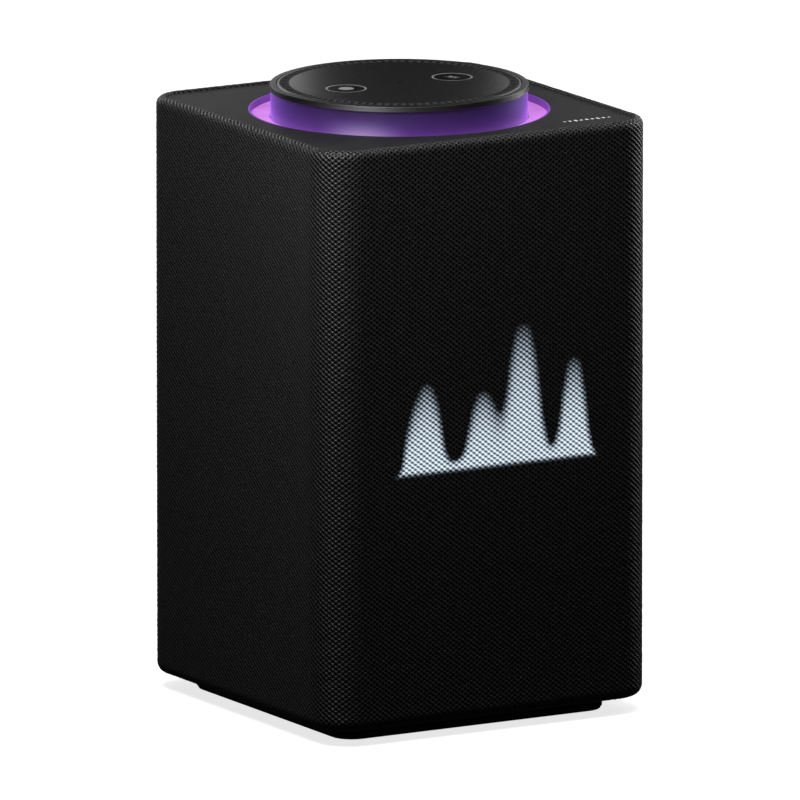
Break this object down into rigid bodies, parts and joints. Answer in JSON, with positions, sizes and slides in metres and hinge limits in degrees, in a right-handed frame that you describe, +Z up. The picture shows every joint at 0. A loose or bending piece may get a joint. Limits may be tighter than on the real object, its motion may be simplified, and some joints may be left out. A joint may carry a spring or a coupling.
{
  "type": "smart speaker",
  "caption": "Square fabric-covered tower speaker with a display behind the front fabric, a raised round volume dial in a lit well on top, sockets at the back.",
  "frame": {"origin": "centre of the square footprint, on the surface that the speaker stands on", "axes": "+Z up along the dial's axis; -Y is the front, with the display and the woofer; +X is the right side seen from the front"},
  "size_m": [0.141, 0.141, 0.2348],
  "materials": {
    "knit": "matt knitted mesh",
    "frame_plastic": "matt moulded",
    "plate_plastic": "fine satin",
    "disc_plastic": "fine satin",
    "ring_metal": "dark anodised, brushed round",
    "skirt_gloss": "polished",
    "light_guide": "milky, lit violet",
    "icon_white": "printed",
    "bearing_plastic": "self-lubricating, natural white",
    "cabinet_plastic": "fine moulded grain",
    "rubber_black": "matt",
    "foam_black": "open-cell foam",
    "basket_steel": "black, satin",
    "motor_steel": "zinc plated",
    "paper_cone": "pressed fibre",
    "coil_copper": "enamelled copper wire",
    "board_green": "solder mask",
    "chip_black": "moulded packages",
    "led_white": "clear lens",
    "diffuser_white": "translucent",
    "sink_aluminium": "extruded",
    "socket_shell": "plated",
    "socket_black": "moulded",
    "screw_steel": "black zinc",
    "cable_film": "polyimide film"
  },
  "bodies": {
    "housing": {"acoustic_mesh": "foam_black", "audio_socket": "socket_black", "base_tray": "frame_plastic", "board_components": "chip_black", "button_light_rings": "icon_white", "cabinet_gasket": "rubber_black", "cabinet_tub": "cabinet_plastic", "case_screws": "screw_steel", "display_board": "board_green", "display_diffuser": "diffuser_white", "display_leds": "led_white", "display_mask": "chip_black", "fabric_sleeve": "knit", "flat_cables": "cable_film", "foot_pad": "rubber_black", "front_baffle": "cabinet_plastic", "heat_sink": "sink_aluminium", "hub_post": "cabinet_plastic", "light_board": "board_green", "light_diffuser": "light_guide", "light_leds": "led_white", "light_reflector": "diffuser_white", "main_board": "board_green", "mic_board": "board_green", "mic_board_components": "chip_black", "mic_gasket": "foam_black", "midrange_bodies": "basket_steel", "midrange_surrounds": "rubber_black", "network_socket": "socket_shell", "power_socket": "socket_black", "radiator_frames": "cabinet_plastic", "radiator_surrounds": "rubber_black", "rotation_sensor": "chip_black", "sleeve_frame": "frame_plastic", "slide_bearing": "bearing_plastic", "socket_panel": "frame_plastic", "top_chassis": "cabinet_plastic", "top_disc": "disc_plastic", "top_plate": "plate_plastic", "tweeter_bodies": "basket_steel", "video_socket": "socket_shell", "well_wall": "light_guide", "woofer_basket": "basket_steel", "woofer_motor": "motor_steel", "woofer_suspension": "rubber_black"},
    "volume_dial": {"volume_ring": "ring_metal", "volume_skirt": "skirt_gloss", "code_ring": "chip_black"},
    "action_key": {"action_button": "disc_plastic", "action_icon": "icon_white"},
    "mute_key": {"mute_button": "disc_plastic", "mute_icon": "icon_white"},
    "woofer_diaphragm": {"woofer_cone": "paper_cone", "woofer_voice_coil": "coil_copper"},
    "radiator_left": {"radiator_plate_left": "motor_steel"},
    "radiator_right": {"radiator_plate_right": "motor_steel"},
    "midrange_left": {"midrange_cone_left": "paper_cone"},
    "midrange_right": {"midrange_cone_right": "paper_cone"},
    "tweeter_left": {"tweeter_dome_left": "paper_cone"},
    "tweeter_right": {"tweeter_dome_right": "paper_cone"}
  },
  "joints": [
    {"name": "volume_turn", "type": "hinge", "parent": "housing", "child": "volume_dial", "pos_m": [0, 0, 0], "axis": [0, 0, 1], "continuous": true},
    {"name": "action_press", "type": "slide", "parent": "housing", "child": "action_key", "axis": [0, 0, -1], "range_m": [0, 0.0004], "stiffness_N_per_m": 800, "springref_m": -0.0005},
    {"name": "mute_press", "type": "slide", "parent": "housing", "child": "mute_key", "axis": [0, 0, -1], "range_m": [0, 0.0004], "stiffness_N_per_m": 800, "springref_m": -0.0005},
    {"name": "woofer_stroke", "type": "slide", "parent": "housing", "child": "woofer_diaphragm", "axis": [0, -1, 0], "range_m": [-0.004, 0.004], "stiffness_N_per_m": 1200, "deforming": ["woofer_suspension"]},
    {"name": "radiator_left_stroke", "type": "slide", "parent": "housing", "child": "radiator_left", "axis": [-1, 0, 0], "range_m": [-0.004, 0.004], "stiffness_N_per_m": 900, "deforming": ["radiator_surrounds"]},
    {"name": "radiator_right_stroke", "type": "slide", "parent": "housing", "child": "radiator_right", "axis": [1, 0, 0], "range_m": [-0.004, 0.004], "stiffness_N_per_m": 900, "deforming": ["radiator_surrounds"]},
    {"name": "midrange_left_stroke", "type": "slide", "parent": "housing", "child": "midrange_left", "axis": [0, -1, 0], "range_m": [-0.0015, 0.0015], "stiffness_N_per_m": 900, "deforming": ["midrange_surrounds"]},
    {"name": "midrange_right_stroke", "type": "slide", "parent": "housing", "child": "midrange_right", "axis": [0, -1, 0], "range_m": [-0.0015, 0.0015], "stiffness_N_per_m": 900, "deforming": ["midrange_surrounds"]},
    {"name": "tweeter_left_stroke", "type": "slide", "parent": "housing", "child": "tweeter_left", "axis": [0, -1, 0], "range_m": [-0.0003, 0.0003], "stiffness_N_per_m": 900},
    {"name": "tweeter_right_stroke", "type": "slide", "parent": "housing", "child": "tweeter_right", "axis": [0, -1, 0], "range_m": [-0.0003, 0.0003], "stiffness_N_per_m": 900}
  ]
}
